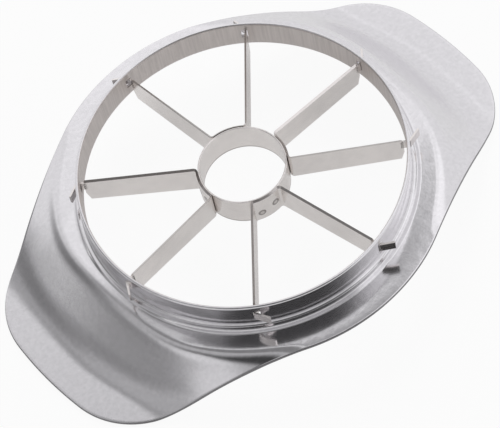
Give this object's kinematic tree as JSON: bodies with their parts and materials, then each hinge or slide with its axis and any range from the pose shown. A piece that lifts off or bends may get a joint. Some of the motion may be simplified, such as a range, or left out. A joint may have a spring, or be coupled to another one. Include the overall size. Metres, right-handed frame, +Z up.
{
  "type": "apple slicer",
  "caption": "Press-down fruit slicer: a pressed steel sheet with two wing grips and a drawn round collar that holds radial blades around a core ring.",
  "frame": {"origin": "on the resting plane under the middle of the ring", "axes": "+X along the two wings, +Y across them, +Z up, towards the ground cutting edges"},
  "size_m": [0.1592, 0.117, 0.0248],
  "materials": {
    "polished_sheet": "polished stainless sheet, soft reflections",
    "blade_steel": "matte rolled strip, fine grain"
  },
  "bodies": {
    "root": {"frame": "polished_sheet", "core_ring": "blade_steel", "blade_strip_1": "blade_steel", "blade_strip_2": "blade_steel", "blade_strip_3": "blade_steel", "blade_strip_4": "blade_steel"}
  },
  "joints": []
}
